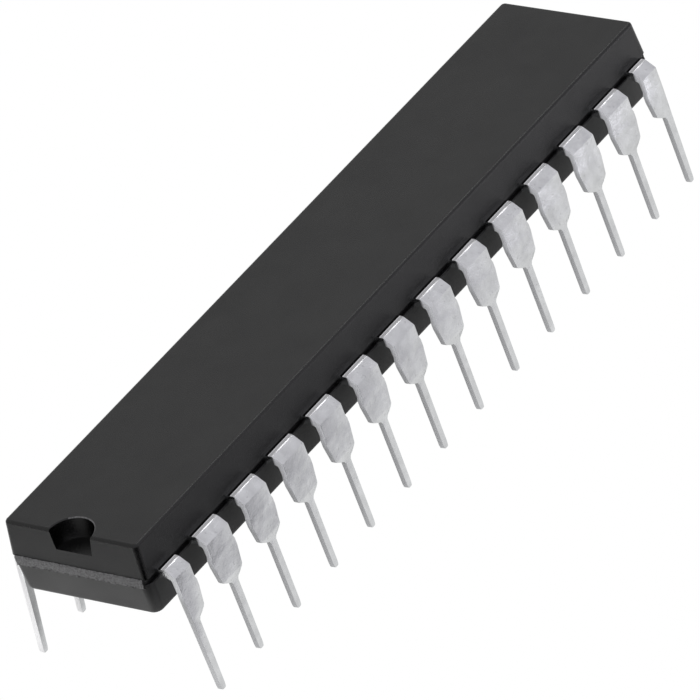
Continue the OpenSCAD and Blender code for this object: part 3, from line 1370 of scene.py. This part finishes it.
    def _place(self, pattern: Piece, number: int) -> Piece:
        """Copy a quarter's lead to the place of one numbered lead.

        Args:
            pattern: The lead as modelled in the quarter at -X and -Y.
            number: The lead's number, counted from 1.

        Returns:
            The placed lead.
        """
        lead = pattern.copy()
        lead.data = pattern.data.copy()
        bpy.context.collection.objects.link(lead)
        lead.name = f"tin_lead_{number:02d}"
        mirrored = (number - 1) % self.per_row >= self.quarter
        turned = number > self.per_row
        flip = (-1 if mirrored != turned else 1, -1 if turned else 1, 1)
        with editing(lead):
            bpy.ops.mesh.select_all(action="SELECT")
            stretch(flip, Vector())
            bpy.ops.mesh.normals_make_consistent(inside=False)
        smooth(lead, self.smooth_angle)
        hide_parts(f"lead_{number:02d}")
        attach(lead, "root")
        return lead

    def build(self) -> list[Piece]:
        """Model one lead of each kind and row, and copy it to its two places.

        Returns:
            The 28 leads.
        """
        leads = []
        for k, bend in itertools.product(range(self.quarter), (self.front_bend, self.back_bend)):
            pattern = self._pattern(k, bend)
            first = self.per_row if bend is self.back_bend else 0
            for number in (first + k + 1, first + self.per_row - k):
                leads.append(self._place(pattern, number))
                LOG.info("%s: %d faces", leads[-1].name, len(leads[-1].data.polygons))
            bpy.data.objects.remove(pattern)
        return leads


@dataclass
class InsideParts:
    """The carried-over solids sealed in the body: die paddle, adhesive, die and bond wires."""

    finishes: dict[str, Material]

    def build(self) -> None:
        """Give each inside node its finish."""
        for name, material in self.finishes.items():
            wear(frame["nodes"][name], material)
            LOG.info("%s: %s", name, material.name)


@dataclass
class Studio:
    """A white light table in a soft white room, with the camera of the photograph.

    The camera sees table and room pure white. What lights the chip and shows in its faces is the table's
    pattern, given by strengths and by the places between which each of them fades in.
    """

    camera_at: Point = (-217.815, -217.077, 200.627)
    camera_aim: Point = (-0.246, -0.096, 3.173)
    camera_roll: float = 18.2197
    lens: float = 488.0986
    sensor: float = 36.0
    clip: Span = (10.0, 10000.0)
    floor_size: float = 4000.0
    table_near: float = 0.83
    end_strength: float = 1.29
    end_x: Span = (-16.5, -18.0)
    end_far_strength: float = 0.385
    end_far_x: Span = (-22.5, -25.5)
    beside_x: Span = (-21.0, -17.0)
    row_strength: Span = (0.60, 0.68)
    row_x: Span = (-8.0, 25.0)
    row_y: Span = (-8.5, -10.5)
    row_slant: float = 0.07
    row_tint: Color = (0.965, 0.955, 1.0, 1.0)
    front_strength: Span = (0.0, 2.0)
    front_x: Span = (-12.0, 29.0)
    front_y: Band = Band(-26.0, -22.0, -16.5, -14.3)
    under_strength: float = 0.4
    under_x: Span = (18.5, 16.0)
    under_y: Span = (4.6, 2.6)
    corner_x: Span = (-18.5, -21.0)
    corner_y: Span = (-3.0, -6.0)
    room_light: float = 0.59
    room_front: float = 0.70
    room_turn: Span = (0.35, 0.0)
    softbox_at: Point = (300.0, 45.0, 400.0)
    softbox_aim: Point = (0.0, 0.0, 4.0)
    softbox_size: float = 150.0
    softbox_radiance: float = 2.4

    def _camera(self) -> None:
        """Place the camera at the photograph's viewing angle."""
        at, aim = mm_vector(*self.camera_at), mm_vector(*self.camera_aim)
        ahead = (aim - at).normalized()
        right = ahead.cross(Vector((0, 0, 1))).normalized()
        up = right.cross(ahead)
        roll = math.radians(self.camera_roll)
        picture_right = right * math.cos(roll) - up * math.sin(roll)
        picture_up = up * math.cos(roll) + right * math.sin(roll)
        turn = Matrix((picture_right, picture_up, -ahead)).transposed()
        bpy.ops.object.camera_add(location=at, rotation=turn.to_euler())
        camera = bpy.context.object
        camera.data.lens = self.lens
        camera.data.sensor_width = self.sensor
        camera.data.clip_start, camera.data.clip_end = (mm(distance) for distance in self.clip)
        bpy.context.scene.camera = camera

    def _glow(self, graph: Graph, kind: str, color: Value, strength: Value) -> Node:
        """Add an emitter that the camera sees pure white and that lights the chip by its own colour.

        Args:
            graph: The tree that the nodes go into.
            kind: Emission or Background.
            color: The colour for light and reflections.
            strength: The strength for light and reflections.

        Returns:
            The emitter's node.
        """
        node = graph.add(kind)
        seen = graph.add("LightPath").outputs["Is Camera Ray"]
        graph.feed(graph.blend(seen, color, WHITE), node.inputs["Color"])
        graph.feed(graph.towards(strength, 1.0, seen), node.inputs["Strength"])
        return node

    def _table_light(self, graph: Graph) -> tuple[Socket, Socket]:
        """Work out how the table glows around the chip.

        It is brightest before the notched end, dimmer along the front row, shaded under the body, and dark
        at the corner where the camera stands.

        Args:
            graph: The floor material's graph.

        Returns:
            The colour and the strength.
        """
        x, y, _ = graph.axes(graph.place())
        beside = graph.ramp(x, *self.beside_x)
        slanted = graph.calc("MULTIPLY_ADD", x, self.row_slant, y)
        row = graph.calc("MULTIPLY", graph.ramp(slanted, *self.row_y), beside)
        front = graph.calc("MULTIPLY", graph.band(y, self.front_y), beside)
        under = graph.calc("MULTIPLY", graph.ramp(graph.calc("ABSOLUTE", y), *self.under_y),
                           graph.ramp(graph.calc("ABSOLUTE", x), *self.under_x))
        corner = graph.calc("MULTIPLY", graph.ramp(x, *self.corner_x), graph.ramp(y, *self.corner_y))
        strength = graph.ramp(x, *self.end_x, self.table_near, self.end_strength)
        for goal, share in (
                (self.end_far_strength, graph.ramp(x, *self.end_far_x)),
                (graph.ramp(x, *self.row_x, *self.row_strength), row),
                (graph.ramp(x, *self.front_x, *self.front_strength), front),
                (self.under_strength, under),
                (0.0, corner)):
            strength = graph.towards(strength, goal, share)
        return graph.blend(row, WHITE, self.row_tint), strength

    def _floor(self) -> None:
        """Lay the white floor that the lead tips stand on."""
        bpy.ops.mesh.primitive_plane_add(size=mm(self.floor_size), location=(0, 0, 0))
        floor = bpy.context.object
        floor.name = "floor"
        material = bpy.data.materials.new("light_table")
        material.use_nodes = True
        graph = Graph(material.node_tree)
        glow = self._glow(graph, "Emission", *self._table_light(graph))
        output = next(n for n in material.node_tree.nodes if n.type == "OUTPUT_MATERIAL")
        graph.feed(glow.outputs[0], output.inputs["Surface"])
        floor.data.materials.append(material)

    def _room(self) -> None:
        """Give the room a soft light, a little brighter towards the front row."""
        world = bpy.data.worlds.new("studio")
        world.use_nodes = True
        world.node_tree.nodes.clear()
        graph = Graph(world.node_tree)
        _, y, _ = graph.axes(graph.add("TexCoord").outputs["Generated"])
        front = graph.ramp(y, *self.room_turn)
        strength = graph.towards(self.room_light, self.room_front, front)
        glow = self._glow(graph, "Background", graph.blend(front, WHITE, self.row_tint), strength)
        output = graph.add("OutputWorld")
        graph.feed(glow.outputs[0], output.inputs["Surface"])
        bpy.context.scene.world = world

    def _softbox(self) -> None:
        """Hang a square soft light that faces the chip, with a radiance of which 1 looks white."""
        place = mm_vector(*self.softbox_at)
        turn = (mm_vector(*self.softbox_aim) - place).to_track_quat("-Z", "Y")
        bpy.ops.object.light_add(type="AREA", location=place, rotation=turn.to_euler())
        light = bpy.context.object
        light.name = "softbox"
        light.data.size = mm(self.softbox_size)
        light.data.energy = self.softbox_radiance * math.pi * mm(self.softbox_size) ** 2

    def build(self) -> None:
        """Set up the camera, the floor, the room and the light."""
        self._camera()
        self._floor()
        self._room()
        self._softbox()
        bpy.context.scene.view_settings.view_transform = "Standard"
        LOG.info("studio: floor, room, light and camera")


def main() -> None:
    """Build every piece of the chip and its studio."""
    logging.basicConfig(level=logging.INFO, format="%(name)s: %(message)s")
    workshop = Workshop()
    MouldedBody(MouldingCompound().material(workshop)).build()
    LeadRows(TinPlate().material(workshop)).build()
    copper = PlainMetal(Slot.COPPER, COPPER, roughness=0.3)
    gold = PlainMetal(Slot.GOLD, (0.95, 0.68, 0.26, 1.0), roughness=0.18, cloud_size=0.2)
    InsideParts({
        "die_paddle": copper.material(workshop),
        "die_attach": SilverEpoxy().material(workshop),
        "die": SiliconDie().material(workshop),
        "bond_wires": gold.material(workshop),
    }).build()
    Studio().build()


if __name__ == "__main__":
    main()
